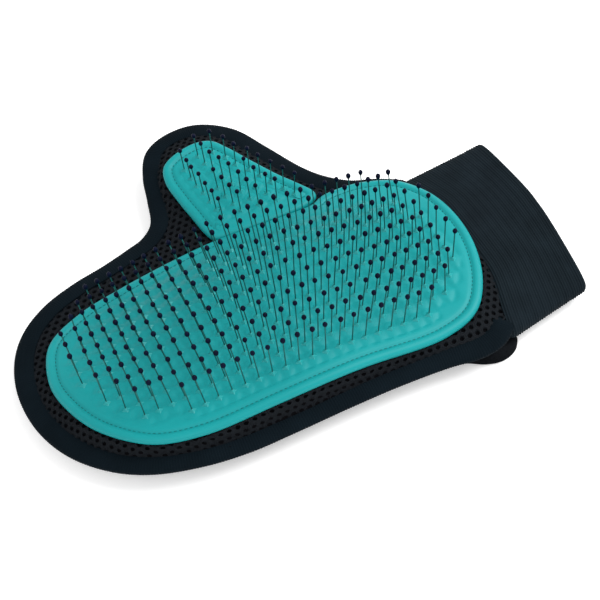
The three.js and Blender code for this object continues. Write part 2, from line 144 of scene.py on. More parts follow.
# ---------------------------------------------------------------- shapes in numbers


def palm_top(x, y):
    """Height of the palm pad's surface."""
    along = (x - PALM[0]) / DOME_HALF[0]
    across = (y - PALM[1]) / DOME_HALF[1]
    u = np.clip(along, -0.93, 0.9)
    v = np.clip(across, -1.0, 1.28)
    beyond = np.abs(along - u)
    lengthwise = -15.2 * u**2 + 1.97 * u**3 + 9.16 * u**4
    sideways = -3.94 * v**2 - 2.61 * v**3
    twist = 2.96 * u * v - 3.89 * u * u * v - 0.29 * u * v * v
    fall = 22 * beyond**2 - lengthwise - sideways - twist
    return PAD_TOP - fall / np.cbrt(1 + np.abs(fall / SOFT_FALL) ** 3)


def thumb_top(x, y):
    """Height of the thumb pad's surface."""
    from_crease = y - CREASE_Y
    from_left = x - PALM[0] + 7
    middle = PALM[0] + 20 - 0.3 * from_crease
    crown = np.minimum(0.5 * ((x - middle) / 22) ** 2, 0.5)
    return PAD_TOP - THUMB_DROP + THUMB_RISE * from_crease - 0.01 * from_left - crown


def spline(points, count, closed=False):
    """Evenly spaced points on a smooth curve through the given points."""
    p = np.array(points, float)
    if closed:
        p = np.vstack([p[-1], p, p[0], p[1]])
    else:
        p = np.vstack([2 * p[0] - p[1], p, 2 * p[-1] - p[-2]])
    dense = []
    for a, b, c, d in zip(p[:-3], p[1:-2], p[2:-1], p[3:]):
        ka = np.linalg.norm(b - a) ** 0.5
        kb = ka + np.linalg.norm(c - b) ** 0.5
        kc = kb + np.linalg.norm(d - c) ** 0.5
        t = np.linspace(ka, kb, 24, endpoint=False)[:, None]
        ab = (ka - t) / ka * a + t / ka * b
        bc = (kb - t) / (kb - ka) * b + (t - ka) / (kb - ka) * c
        cd = (kc - t) / (kc - kb) * c + (t - kb) / (kc - kb) * d
        left = (kb - t) / kb * ab + t / kb * bc
        right = (kc - t) / (kc - ka) * bc + (t - ka) / (kc - ka) * cd
        dense.append((kb - t) / (kb - ka) * left + (t - ka) / (kb - ka) * right)
    dense = np.vstack(dense + [p[-2][None]])
    steps = np.linalg.norm(np.diff(dense, axis=0), axis=1)
    along = np.concatenate([[0], np.cumsum(steps)])
    wanted = np.linspace(0, along[-1], count, endpoint=not closed)
    return np.stack([np.interp(wanted, along, dense[:, k]) for k in range(p.shape[1])], 1)


def length_of(line):
    return float(np.linalg.norm(np.diff(line, axis=0), axis=1).sum())


def inward(line, closed):
    """Unit vectors to the left of a counter-clockwise line, in plan."""
    if closed:
        along = np.roll(line, -1, 0) - np.roll(line, 1, 0)
    else:
        along = np.gradient(line, axis=0)
    left = np.stack([-along[:, 1], along[:, 0]], 1)
    return left / np.linalg.norm(left, axis=1)[:, None]


def nearest(points, line):
    """For each point: distance to a line's samples in plan, and the index of the nearest."""
    far = np.empty(len(points))
    index = np.empty(len(points), int)
    for start in range(0, len(points), 4000):
        block = points[start:start + 4000, None, :2] - line[None, :, :2]
        gap = np.einsum("ijk,ijk->ij", block, block)
        index[start:start + 4000] = gap.argmin(1)
        far[start:start + 4000] = np.sqrt(gap.min(1))
    return far, index


def is_inside(points, outline):
    """Whether each point lies inside a closed outline, in plan."""
    inside = np.zeros(len(points), bool)
    x, y = points[:, 0], points[:, 1]
    a = outline
    b = np.roll(outline, -1, 0)
    for (ax, ay), (bx, by) in zip(a[:, :2], b[:, :2]):
        crosses = (ay > y) != (by > y)
        if crosses.any():
            meets = (bx - ax) * (y - ay) / (by - ay if by != ay else 1e-9) + ax
            inside ^= crosses & (x < meets)
    return inside


def smoothstep(t):
    t = np.clip(t, 0, 1)
    return t * t * (3 - 2 * t)


# ---------------------------------------------------------------- mesh helpers


def make_object(name, vertices, faces, material, smooth=True):
    mesh = bpy.data.meshes.new(name)
    corners = (np.asarray(vertices, float) * MM).tolist()
    mesh.from_pydata(corners, [], faces if isinstance(faces, list) else faces.tolist())
    mesh.materials.append(material)
    if smooth:
        mesh.polygons.foreach_set("use_smooth", [True] * len(mesh.polygons))
    mesh.update()
    obj = bpy.data.objects.new(name, mesh)
    bpy.context.scene.collection.objects.link(obj)
    return obj


def grid_faces(rows, columns, wrap):
    """Quads of a grid of vertices, row by row. wrap joins the last column to the first."""
    r = np.arange(rows - 1)[:, None]
    c = np.arange(columns if wrap else columns - 1)[None, :]
    n = (c + 1) % columns
    here = r * columns
    above = here + columns
    return np.stack([here + c, here + n, above + n, above + c], -1).reshape(-1, 4)


def fan(first, count, hub, flip=False):
    """Triangles from a ring of vertices, which starts at index first, to the vertex hub."""
    pairs = [(first + i, first + (i + 1) % count) for i in range(count)]
    return [[b, a, hub] if flip else [a, b, hub] for a, b in pairs]


def ring_round(centre, axis, radii, turn=0.0):
    """Points spread evenly round an axis, one at each of the radii."""
    side = np.cross([0, 1, 0], axis)
    side /= np.linalg.norm(side)
    front = np.cross(axis, side)
    angles = [turn + 2 * math.pi * k / len(radii) for k in range(len(radii))]
    return [
        centre + (side * math.cos(angle) + front * math.sin(angle)) * radius
        for angle, radius in zip(angles, radii)
    ]


class Batch:
    """Collects many small pieces into one mesh."""

    def __init__(self):
        self.vertices = []
        self.faces = []
        self.count = 0

    def add(self, vertices, faces):
        self.vertices.append(np.asarray(vertices, float))
        self.faces += [[i + self.count for i in face] for face in faces]
        self.count += len(vertices)

    def make(self, name, material, smooth=True):
        return make_object(name, np.vstack(self.vertices), self.faces, material, smooth)


# ---------------------------------------------------------------- materials


def new_material(name, color, roughness, metallic=0.0, specular=0.5):
    material = bpy.data.materials.new(name)
    material.use_nodes = True
    shader = material.node_tree.nodes["Principled BSDF"]
    shader.inputs["Base Color"].default_value = (*color, 1)
    shader.inputs["Roughness"].default_value = roughness
    shader.inputs["Metallic"].default_value = metallic
    shader.inputs["Specular IOR Level"].default_value = specular
    return material


def add_node(material, kind, **values):
    node = material.node_tree.nodes.new(kind)
    for key, value in values.items():
        node.inputs[key].default_value = value
    return node


def add_detail(material, low, high, scale, bump_scale, bump_height, roughness=None):
    """Colour that wanders between two tones, a fine grain and, if given, a varying roughness."""
    tree = material.node_tree
    link = tree.links.new
    shader = tree.nodes["Principled BSDF"]
    place = tree.nodes.new("ShaderNodeTexCoord")
    broad = add_node(material, "ShaderNodeTexNoise", Scale=scale, Detail=4.0)
    link(place.outputs["Object"], broad.inputs["Vector"])
    ramp = tree.nodes.new("ShaderNodeValToRGB")
    ramp.color_ramp.elements[0].position = 0.3
    ramp.color_ramp.elements[0].color = (*low, 1)
    ramp.color_ramp.elements[1].position = 0.7
    ramp.color_ramp.elements[1].color = (*high, 1)
    link(broad.outputs["Fac"], ramp.inputs["Fac"])
    link(ramp.outputs["Color"], shader.inputs["Base Color"])
    fine = add_node(material, "ShaderNodeTexNoise", Scale=bump_scale, Detail=3.0)
    link(place.outputs["Object"], fine.inputs["Vector"])
    bump = add_node(material, "ShaderNodeBump", Strength=0.6, Distance=bump_height)
    link(fine.outputs["Fac"], bump.inputs["Height"])
    link(bump.outputs["Normal"], shader.inputs["Normal"])
    if roughness:
        spread = tree.nodes.new("ShaderNodeMapRange")
        spread.inputs["To Min"].default_value = roughness[0]
        spread.inputs["To Max"].default_value = roughness[1]
        link(broad.outputs["Fac"], spread.inputs["Value"])
        link(spread.outputs["Result"], shader.inputs["Roughness"])
    return material


def make_rubber():
    rubber = new_material("Pad rubber", (0.003, 0.25, 0.26), 0.44, specular=0.2)
    low = (0.0025, 0.245, 0.255)
    high = (0.0035, 0.285, 0.295)
    return add_detail(rubber, low, high, 25.0, 1500.0, 0.00005, (0.4, 0.52))


# The bosses are moulded of the pad's own rubber; their lighter colour is painted highlight, for the
# light on their facets.
def make_boss_rubber_painted_highlight():
    boss = new_material("Boss rubber painted highlight", (0.006, 0.3, 0.3), 0.4, specular=0.35)
    return add_detail(boss, (0.005, 0.28, 0.285), (0.009, 0.33, 0.33), 200.0, 3000.0, 0.00004)


def make_stitch():
    stitch = new_material("Groove stitch", (0.003, 0.11, 0.11), 0.7, specular=0.2)
    return add_detail(stitch, (0.0025, 0.09, 0.09), (0.004, 0.13, 0.13), 300.0, 4000.0, 0.00004)


def make_steel():
    steel = new_material("Bristle wire", (0.012, 0.11, 0.1), 0.42, 0.35)
    low = (0.008, 0.08, 0.075)
    high = (0.02, 0.15, 0.135)
    return add_detail(steel, low, high, 400.0, 6000.0, 0.00002, (0.35, 0.5))


def make_tip():
    tip = new_material("Bristle tip", (0.0006, 0.0022, 0.014), 0.5, specular=0.08)
    low = (0.0005, 0.0018, 0.011)
    high = (0.0009, 0.0032, 0.019)
    return add_detail(tip, low, high, 250.0, 5000.0, 0.00002, (0.45, 0.6))


def make_net():
    net = new_material("Air mesh", (0.004, 0.006, 0.0085), 0.8, specular=0.12)
    low = (0.0016, 0.0028, 0.0044)
    high = (0.0062, 0.0085, 0.0115)
    return add_detail(net, low, high, 900.0, 5000.0, 0.0002, (0.6, 0.92))


def make_lining():
    lining = new_material("Mesh lining", (0.0018, 0.0018, 0.0024), 0.95, specular=0.05)
    low = (0.0013, 0.0013, 0.0018)
    high = (0.0024, 0.0024, 0.0034)
    return add_detail(lining, low, high, 900.0, 7000.0, 0.0002)


def make_tape():
    tape = new_material("Binding tape", (0.0022, 0.0055, 0.0085), 0.88, specular=0.06)
    low = (0.0016, 0.0045, 0.007)
    high = (0.003, 0.007, 0.0105)
    return add_detail(tape, low, high, 60.0, 5000.0, 0.00012, (0.8, 0.94))


def make_elastic():
    elastic = new_material("Cuff elastic", (0.0052, 0.01, 0.0138), 0.9, specular=0.1)
    low = (0.004, 0.0082, 0.0115)
    high = (0.0068, 0.0125, 0.017)
    return add_detail(elastic, low, high, 80.0, 4500.0, 0.00012, (0.82, 0.95))


def make_floor():
    """Pale and glowing a little, so that the shadow on it stays faint."""
    floor_paint = new_material("Floor", (0.95, 0.95, 0.95), 0.9, specular=0.1)
    inputs = floor_paint.node_tree.nodes["Principled BSDF"].inputs
    inputs["Emission Color"].default_value = (1, 1, 1, 1)
    inputs["Emission Strength"].default_value = 0.3
    return floor_paint


# ---------------------------------------------------------------- pads


# Cross-section of a pad's rim: distance in from the edge and height above the pad's surface.
RIM_PROFILE = [
    (1.2, -3.0), (0.35, -2.8), (0.05, -2.3), (0.0, -1.6), (0.15, -1.0), (0.5, -0.5), (1.0, -0.12),
    (1.7, 0.12), (2.5, 0.18), (3.2, 0.02), (3.7, -0.28), (4.1, -0.62), (4.5, -0.7), (4.9, -0.52),
    (5.3, -0.22), (5.9, -0.05), (6.8, 0.0), (8.0, 0.0),
]
# Its first points are the outer wall. The rest, a roll and a groove, fade out along the crease.
RIM_WALL_POINTS = 7
# Rings of vertices under a pad, as shares of the way from its foot to its middle.
BASE_SHARES = (0.25, 0.5, 0.75)
# Low relief between the bristles.
RIDGE_HEIGHT = 0.45
VALLEY_DEPTH = 0.38
# Stitches: the groove's distance from the edge, how deep they lie in it, their spacing, and the
# share of it that is thread.
GROOVE_INSET = 4.4
STITCH_DEPTH = 0.68
STITCH_PITCH = 2.1
STITCH_SHARE = 0.72
# One stitch: place along it, half width, and height of its middle over its sides.
STITCH_PROFILE = [(-0.5, 0.05, 0.05), (-0.25, 0.16, 0.3), (0.25, 0.16, 0.3), (0.5, 0.05, 0.05)]
# Below this share of the rim's roll there is no groove, and so no stitch.
STITCH_FADE = 0.6
# Rings of a boss: height, radius at its corners and radius between them.
BOSS_RINGS = [(-0.1, 2.35, 1.45), (0.6, 1.35, 1.0), (1.3, 0.55, 0.5), (1.5, 0.2, 0.2)]
BOSS_CORNERS = 4
BOSS_TURN = 0.12
WIRE_HEIGHTS = (0.3, PIN_LENGTH * 0.5, PIN_LENGTH)
WIRE_SIDES = 8
WIRE_SPREAD = 0.012
# Half outline of a dipped tip: share of its height and share of its greatest radius.
TIP_PROFILE = [
    (0.0, 0.28), (0.12, 0.5), (0.28, 0.82), (0.45, 0.99), (0.6, 1.0), (0.75, 0.88), (0.88, 0.62),
    (0.97, 0.28),
]
TIP_SIDES = 12
TIP_SIZES = (0.93, 1.06)
# Share of the tip that is dipped over the wire.
TIP_OVERLAP = 0.35


def palm_rim_share(x, y):
    """How much of the palm pad's rim roll is kept: none along the crease."""
    # None is left past local_y 51 between local_x -2 and 38. The ends are soft.
    local_x, local_y = x - PALM[0], y - PALM[1]
    along_crease = smoothstep((local_x + 10) / 8) * smoothstep((46 - local_x) / 8)
    return 1 - smoothstep((local_y - 46) / 5) * along_crease


def thumb_rim_share(x, y):
    """How much of the thumb pad's rim roll is kept: none along the crease."""
    return smoothstep((y - PALM[1] - 57.5) / 6)


def palm_feet():
    x, y = [], []
    for row, first, last in PALM_ROWS:
        for column in range(first, last + 1):
            x.append(PALM[0] + (column + COLUMN_SHIFT) * PITCH_X)
            y.append(PALM[1] + (row + ROW_SHIFT) * PITCH_Y)
    return np.array(x), np.array(y)


def thumb_feet():
    x, y = [], []
    for reach, first, last, count in THUMB_ROWS:
        row = np.linspace(first, last, count)
        x += list(PALM[0] + row)
        y += list(CREASE_Y + reach - THUMB_ROW_SKEW * (row - first))
    return np.array(x), np.array(y)


def surface_up(top, x, y):
    """Unit normals of a surface at many points."""
    slope_x = top(x + 0.5, y) - top(x - 0.5, y)
    slope_y = top(x, y + 0.5) - top(x, y - 0.5)
    up = np.stack([-slope_x, -slope_y, np.ones_like(x)], 1)
    return up / np.linalg.norm(up, axis=1)[:, None]


class Pad:
    """The outline and surface of one pad, and the feet of its bristles."""

    def __init__(self, name, edge, middle, top, rim_share, feet):
        self.name = name
        self.edge = np.array(edge) + PALM + PAD_SHIFT
        self.middle = np.array(middle) + PALM
        self.top = top
        self.rim_share = rim_share
        self.x, self.y = feet

    def pins(self, lean=0.0):
        """The foot and the direction of each bristle."""
        up = surface_up(self.top, self.x, self.y) + lean
        up /= np.linalg.norm(up, axis=1)[:, None]
        return zip(np.column_stack([self.x, self.y, self.top(self.x, self.y)]), up)

    def relief(self, x, y):
        """Low raised diamonds round each bristle, meeting in shallow valleys."""
        _, index = nearest(np.stack([x, y], 1), np.stack([self.x, self.y], 1))
        dx = np.abs(x - self.x[index]) / PITCH_X
        dy = np.abs(y - self.y[index]) / PITCH_Y
        ridge = np.clip(1 - 1.15 * (dx + dy), 0, 1)
        # The valleys die out beyond the outer bristles.
        beyond = np.maximum(dx - 0.62, 0) + np.maximum(dy - 0.62, 0)
        valley = smoothstep((dx + dy - 0.45) / 0.5) * np.clip(1 - 2.2 * beyond, 0, 1)
        fade = 1 - smoothstep((np.hypot(dx, dy) - 0.7) / 0.35)
        return RIDGE_HEIGHT * ridge - VALLEY_DEPTH * valley * fade


def build_pad(pad, count, rings, material):
    """A moulded pad: rounded rim, stitched groove and a field with low relief round the bristles."""
    outline = spline(pad.edge, count, closed=True)
    left = inward(outline, True)
    rows = []
    for k, (distance, lift) in enumerate(RIM_PROFILE):
        x, y = (outline + left * distance).T
        share = 1 if k < RIM_WALL_POINTS else pad.rim_share(x, y)
        rows.append(np.column_stack([x, y, pad.top(x, y) + lift * share]))
    field = rows[-1][:, :2]
    for share in np.linspace(0, 1, rings + 1)[1:-1]:
        x, y = (field + (pad.middle - field) * share).T
        rows.append(np.column_stack([x, y, pad.top(x, y) + pad.relief(x, y)]))
    crown = pad.top(*pad.middle)
    upper = np.vstack([*rows, [*pad.middle, crown]])
    faces = grid_faces(len(rows), count, True).tolist()
    faces += fan((len(rows) - 1) * count, count, len(upper) - 1)

    foot = rows[0][:, :2]
    base = []
    for share in BASE_SHARES:
        x, y = (foot + (pad.middle - foot) * share).T
        base.append(np.column_stack([x, y, pad.top(x, y) - PAD_THICK]))
    lower = np.vstack([*base, [*pad.middle, crown - PAD_THICK]])
    starts = [0] + [len(upper) + k * count for k in range(len(base))]
    for outer, inner in zip(starts, starts[1:]):
        for i in range(count):
            j = (i + 1) % count
            faces.append([outer + j, outer + i, inner + i, inner + j])
    faces += fan(starts[-1], count, len(upper) + len(lower) - 1, flip=True)
    return make_object(f"{pad.name}_pad", np.vstack([upper, lower]), faces, material)


def build_stitches(pad, material):
    """Short thread dashes in a pad's groove."""
    outline = spline(pad.edge, 900, closed=True)
    groove = outline + inward(outline, True) * GROOVE_INSET
    total = length_of(np.vstack([groove, groove[:1]]))
    line = spline(groove[::6], int(total / STITCH_PITCH), closed=True)
    along = np.roll(line, -1, 0) - line
    along /= np.linalg.norm(along, axis=1)[:, None]
    faces = []
    for a in (0, 3, 6):
        faces += [[a, a + 3, a + 4, a + 1], [a + 1, a + 4, a + 5, a + 2]]
    batch = Batch()
    for middle, ahead in zip(line, along):
        if pad.rim_share(*middle) < STITCH_FADE:
            continue
        side = np.array([-ahead[1], ahead[0]])
        vertices = []
        for place, width, lift in STITCH_PROFILE:
            point = middle + ahead * place * STITCH_PITCH * STITCH_SHARE
            z = pad.top(*point) - STITCH_DEPTH
            vertices += [
                [*(point - side * width), z], [*point, z + lift], [*(point + side * width), z],
            ]
        batch.add(vertices, faces)
    return batch.make(f"{pad.name}_groove_stitches", material)


def build_bosses(pad, draw, material):
    """Small faceted cones moulded round each wire."""
    faces = grid_faces(len(BOSS_RINGS), 2 * BOSS_CORNERS, True).tolist()
    batch = Batch()
    for foot, up in pad.pins():
        turn = draw.uniform(-BOSS_TURN, BOSS_TURN)
        rings = [
            ring_round(foot + up * height, up, [wide, narrow] * BOSS_CORNERS, turn)
            for height, wide, narrow in BOSS_RINGS
        ]
        batch.add(np.vstack(rings), faces)
    return batch.make(f"{pad.name}_bosses", material, smooth=False)


def build_wires(pad, lean, material):
    """Round wires standing out of the bosses."""
    faces = grid_faces(len(WIRE_HEIGHTS), WIRE_SIDES, True).tolist()
    batch = Batch()
    for foot, up in pad.pins(lean):
        rings = [
            ring_round(foot + up * height, up, [WIRE_RADIUS] * WIRE_SIDES)
            for height in WIRE_HEIGHTS
        ]
        batch.add(np.vstack(rings), faces)
    return batch.make(f"{pad.name}_wires", material)


def build_tips(pad, lean, draw, material):
    """Teardrop tips dipped onto the ends of the wires."""
    rows = len(TIP_PROFILE)
    faces = grid_faces(rows, TIP_SIDES, True).tolist()
    faces += fan((rows - 1) * TIP_SIDES, TIP_SIDES, rows * TIP_SIDES)
    batch = Batch()
    for foot, up in pad.pins(lean):
        size = draw.uniform(*TIP_SIZES)
        start = foot + up * (PIN_LENGTH - TIP_HEIGHT * TIP_OVERLAP)
        rise = up * TIP_HEIGHT * size
        rings = [
            ring_round(start + rise * height, up, [TIP_RADIUS * radius * size] * TIP_SIDES)
            for height, radius in TIP_PROFILE
        ]
        batch.add(np.vstack([*rings, start + rise]), faces)
    return batch.make(f"{pad.name}_tips", material)


# ---------------------------------------------------------------- cloth panels


# The cloth's edge lies this far inside the middle of the tape, and this far above or below it.
SEAM_INSET = 1.2
SEAM_LIFT = 0.8
# Its edge inside the cuff, from the palm pad's middle: the panels run on there at these heights.
WRIST_LINE = [(89.5, -36), (91.5, -28), (94, 0), (93, 30)]
WRIST_POINTS = 60
FRONT_WRIST_HEIGHT = 12.6
BACK_WRIST_HEIGHT = 3.6
# Points over which the edge goes from the tape's end heights to those, at both sides.
WRIST_EASE = 12
TAPE_END_HEIGHTS = (11.2, 8.2)
# The front cloth lies this far below a pad's surface.
UNDER_PAD = PAD_THICK + 0.35
# The back cloth's height over the table, its slope under the thumb and the width of its curl.
BACK_BASE = 0.15
BACK_SLOPE = 0.07
BACK_CURL = 20
# The lining is this far inside the net.
LINING_DROP = 0.95
LINING_POINTS = 360
# Point from which both panels are laid out, and how far they reach from it.
GLOVE_MIDDLE = PALM + (2, 40)
NET_REACH = 150.0
# Net cells further in than this under a pad are left out.
NET_UNDER_PAD = 4
# Rings of a net cell: share of the cell's size, and lift.
NET_RINGS = [(1.0, 0.0), (NET_OPEN + 0.2, 0.16), (NET_OPEN, -0.05), (NET_OPEN * 0.9, -NET_DEPTH)]


def binding_line(count):
    path = [(x + PALM[0], y + PALM[1], z) for x, y, z in BINDING_PATH]
    return spline(path, count)


def edge_loop(wrist_height):
    """The closed edge of a cloth panel, tucked into the binding and, at wrist_height, the cuff."""
    line = binding_line(700)
    seam = line[:, :2] + inward(line, False) * SEAM_INSET
    inside_cuff = [PALM + point for point in WRIST_LINE]
    wrist = spline([seam[-1], *inside_cuff, seam[0]], WRIST_POINTS)[1:-1]
    last = len(wrist) - 1
    heights = np.interp(
        np.arange(len(wrist)),
        [0, WRIST_EASE, last - WRIST_EASE, last],
        [TAPE_END_HEIGHTS[0], wrist_height, wrist_height, TAPE_END_HEIGHTS[1]],
    )
    return np.column_stack([np.vstack([seam, wrist]), np.concatenate([line[:, 2], heights])])


def front_height(points, edge, palm_edge, thumb_edge):
    """Height of the front cloth: just under the pads, and running down to the seam beyond them."""
    in_palm = is_inside(points, palm_edge)
    in_thumb = is_inside(points, thumb_edge) & ~in_palm
    palm_gap, palm_index = nearest(points, palm_edge)
    thumb_gap, thumb_index = nearest(points, thumb_edge)
    edge_gap, edge_index = nearest(points, edge)
    palm_rim = palm_top(*palm_edge[palm_index].T)
    thumb_rim = thumb_top(*thumb_edge[thumb_index].T)
    near_palm = 1 / (palm_gap + 0.3) ** 2
    near_thumb = 1 / (thumb_gap + 0.3) ** 2
    rim = (palm_rim * near_palm + thumb_rim * near_thumb) / (near_palm + near_thumb) - UNDER_PAD
    pad_gap = np.minimum(palm_gap, thumb_gap)
    share = pad_gap / (pad_gap + edge_gap + 1e-6)
    seam = edge[edge_index, 2] + SEAM_LIFT
    z = rim + (seam - rim) * smoothstep(share)
    z = np.where(in_palm, palm_top(*points.T) - UNDER_PAD, z)
    return np.where(in_thumb, thumb_top(*points.T) - UNDER_PAD, z)


def back_height(points, edge):
    """Height of the back cloth: flat on the table, curling up to the seam."""
    edge_gap, edge_index = nearest(points, edge)
    base = np.clip(BACK_SLOPE * (points[:, 1] - CREASE_Y), BACK_BASE, None)
    curl = np.clip(1 - edge_gap / BACK_CURL, 0, 1) ** 2
    return base + (edge[edge_index, 2] - SEAM_LIFT - base) * curl


def build_lining(name, height, edge, rings, out, material):
    """A plain sheet inside a net, ring by ring from its edge in. out is 1 for front, -1 for back."""
    loop = spline(edge[::4], LINING_POINTS, closed=True)[:, :2]
    rows = [loop + (GLOVE_MIDDLE - loop) * share for share in np.linspace(0, 0.985, rings)]
    plan = np.vstack([*rows, GLOVE_MIDDLE])
    vertices = np.column_stack([plan, height(plan) - out * LINING_DROP])
    faces = grid_faces(rings, LINING_POINTS, True).tolist()
    faces += fan((rings - 1) * LINING_POINTS, LINING_POINTS, len(plan) - 1)
    return make_object(name, vertices, faces if out > 0 else [f[::-1] for f in faces], material)


def unroll(height):
    """Returns a function that lays flat cloth onto a height field, outward from GLOVE_MIDDLE."""
    turns = np.linspace(0, 2 * math.pi, 361)
    radii = np.linspace(0, NET_REACH, 240)
    rays = np.stack([np.cos(turns), np.sin(turns)], 1)[:, None]
    plan = GLOVE_MIDDLE + radii[None, :, None] * rays
    z = height(plan.reshape(-1, 2)).reshape(len(turns), len(radii))
    steps = np.hypot(np.diff(radii)[None], np.diff(z, axis=1))
    along = np.concatenate([np.zeros((len(turns), 1)), np.cumsum(steps, 1)], 1)
    table = np.stack([np.interp(radii, row, radii) for row in along])

    def lay(points):
        away = points - GLOVE_MIDDLE
        distance = np.hypot(away[:, 0], away[:, 1])
        turn = np.mod(np.arctan2(away[:, 1], away[:, 0]), 2 * math.pi) / (2 * math.pi) * 360
        far = np.clip(distance / NET_REACH * (len(radii) - 1), 0, len(radii) - 1.001)
        i, j = turn.astype(int), far.astype(int)
        a, b = turn - i, far - j
        radius = (table[i, j] * (1 - a) + table[i + 1, j] * a) * (1 - b)
        radius = radius + (table[i, j + 1] * (1 - a) + table[i + 1, j + 1] * a) * b
        return GLOVE_MIDDLE + away * (radius / np.maximum(distance, 1e-6))[:, None]

    return lay


def build_net(name, keep, height, out, material):
    """A honeycomb of cloth cells, each a frame round an open hole. out is as in build_lining."""
    lay = unroll(height)
    rows = int(NET_REACH / NET_ROW)
    columns = int(NET_REACH / NET_PITCH)
    centres = GLOVE_MIDDLE + np.array([
        ((column + 0.5 * (row % 2)) * NET_PITCH, row * NET_ROW)
        for row in range(-rows, rows + 1)
        for column in range(-columns, columns + 1)
    ])
    centres = centres[np.hypot(*(centres - GLOVE_MIDDLE).T) < NET_REACH - NET_PITCH]
    centres = centres[keep(lay(centres))]
    half_x = NET_PITCH / 2
    half_y = NET_ROW * 2 / 3
    corners = np.array([
        (0, half_y), (-half_x, half_y / 2), (-half_x, -half_y / 2),
        (0, -half_y), (half_x, -half_y / 2), (half_x, half_y / 2),
    ])
    count = len(centres) * len(corners)
    flat = [(centres[:, None] + corners * size).reshape(-1, 2) for size, _ in NET_RINGS]
    plan = lay(np.vstack(flat))
    lift = np.concatenate([np.full(count, lift) for _, lift in NET_RINGS])
    vertices = np.column_stack([plan, height(plan) + out * lift])
    i = np.arange(count)
    n = np.where(i % 6 == 5, i - 5, i + 1)
    bands = [
        np.stack([i + a, n + a, n + a + count, i + a + count], 1)
        for a in range(0, (len(NET_RINGS) - 1) * count, count)
    ]
    faces = np.vstack(bands)[:, ::out]
    return make_object(name, vertices, faces, material, smooth=False)


# ---------------------------------------------------------------- back corner


# Corner of the back cloth that shows past the tape beside the cuff.
TAB_EDGE = [
    (86.2, -47.5), (84.8, -50.6), (81.2, -53), (76, -53.8), (70.5, -52.2), (65.2, -48.8),
    (60, -45.5), (66, -43), (76, -42.5), (84, -43.5),
]
TAB_POINTS = 90
# Its section, from below to above: distance in from the edge and height.
TAB_PROFILE = [(1.4, 0.1), (0.5, 0.25), (0.0, 0.9), (0.1, 1.6), (0.6, 2.1), (1.5, 2.3)]
# Heights in its middle, below and above.
TAB_MIDDLE = (0.1, 2.4)


def build_tab(material):
    """A soft rounded corner of cloth, a little thicker than the panel it belongs to."""
    outline = spline(np.array(TAB_EDGE) + PALM, TAB_POINTS, closed=True)
    left = inward(outline, True)
    rows = [
        np.column_stack([outline + left * inset, np.full(TAB_POINTS, height)])
        for inset, height in TAB_PROFILE
    ]
    centre = rows[0][:, :2].mean(0)
    vertices = np.vstack(rows + [[*centre, height] for height in TAB_MIDDLE])
    faces = grid_faces(len(rows), TAB_POINTS, True).tolist()
    faces += fan(0, TAB_POINTS, len(vertices) - 2, flip=True)
    faces += fan((len(rows) - 1) * TAB_POINTS, TAB_POINTS, len(vertices) - 1)
    return make_object("back_tab", vertices, faces, material)


# ---------------------------------------------------------------- binding


def tape_section():
    """The folded strip's points, out along its outer face and back along its inner one.

    Each has its place across and over the fold, from -1 to 1, the share of a rib's height that
    it takes in both directions, and its depth in the strip."""
    turns = np.linspace(TAPE_MOUTH, 2 * math.pi - TAPE_MOUTH, TAPE_SIDES)
    for turn, depth in [(t, 0.0) for t in turns] + [(t, TAPE_WALL) for t in turns[::-1]]:
        cos, sin = math.cos(turn), math.sin(turn)
        wide = math.copysign(abs(cos) ** 0.85, cos)
        high = math.copysign(abs(sin) ** 0.8, sin)
        # The fold is full at the outer edge and thinner where it meets the cloth.
        full = 1.0 + 0.12 * max(-wide, 0) - 0.3 * max(wide, 0) ** 2
        yield wide, high * full, cos, sin, depth


def build_tape(material):
    """Tape folded over the glove's edge: a strip bent into a flat U, with fine ribs across it."""
    line = binding_line(900)
    step = TAPE_RIB / TAPE_RIB_STEPS
    count = int(length_of(line) / step)
    line = spline(line[::5], count)
    k = np.arange(count)
    along = np.gradient(line, axis=0)
    along /= np.linalg.norm(along, axis=1)[:, None]
    left = inward(line, False)
    extra = TAPE_EXTRA * np.exp(-(((k / count - TAPE_EXTRA_AT) / TAPE_EXTRA_SPREAD) ** 2))
    line[:, :2] += left * (TAPE_INSET + extra)[:, None]
    to_end = np.minimum(k, k[::-1]) * step
    pinch = TAPE_END_SHARE + (1 - TAPE_END_SHARE) * smoothstep(to_end / TAPE_TAPER)
    width = np.column_stack([left * math.cos(TAPE_TILT), np.full(count, math.sin(TAPE_TILT))])
    thick = np.cross(along, width)
    thick /= np.linalg.norm(thick, axis=1)[:, None]
    wave = TAPE_RIB_HEIGHT * np.cos(2 * math.pi * k / TAPE_RIB_STEPS)
    # The roll is a little fuller in some places than in others.
    swell = 1 + 0.04 * np.sin(k * step / 17.0) + 0.03 * np.sin(k * step / 7.3 + 1)
    rows = []
    for wide, high, rib_wide, rib_high, depth in tape_section():
        across = wide * (TAPE_HALF_WIDTH + extra - depth) + rib_wide * wave
        over = high * (TAPE_HALF_THICK * swell - depth) + rib_high * wave
        rows.append(line + width * across[:, None] + thick * (over * pinch)[:, None])
    vertices = np.stack(rows, 1).reshape(-1, 3)
    round_points = len(rows)
    faces = grid_faces(count, round_points, True)[:, ::-1].tolist()
    end = (count - 1) * round_points
    for i in range(TAPE_SIDES - 1):
        cap = [i, i + 1, round_points - 2 - i, round_points - 1 - i]
        faces.append(cap)
        faces.append([end + point for point in reversed(cap)])
    return make_object("binding", vertices, faces, material)


# ---------------------------------------------------------------- cuff


CUFF_WALL = 1.1
CUFF_LENGTH = 44.0
CUFF_SIDES = 150
CUFF_RIB = 1.3
CUFF_RIB_STEPS = 5
CUFF_RIB_HEIGHT = 0.17
# Middle across from the palm pad's, middle height, half width and half height of the flattened
# tube at the seam, and what they gain up to the mouth.
CUFF_AT_SEAM = np.array([-1.1, 8.0, 50.6, 6.6])
CUFF_GAIN = np.array([7.2, -0.7, -1.4, -0.5])
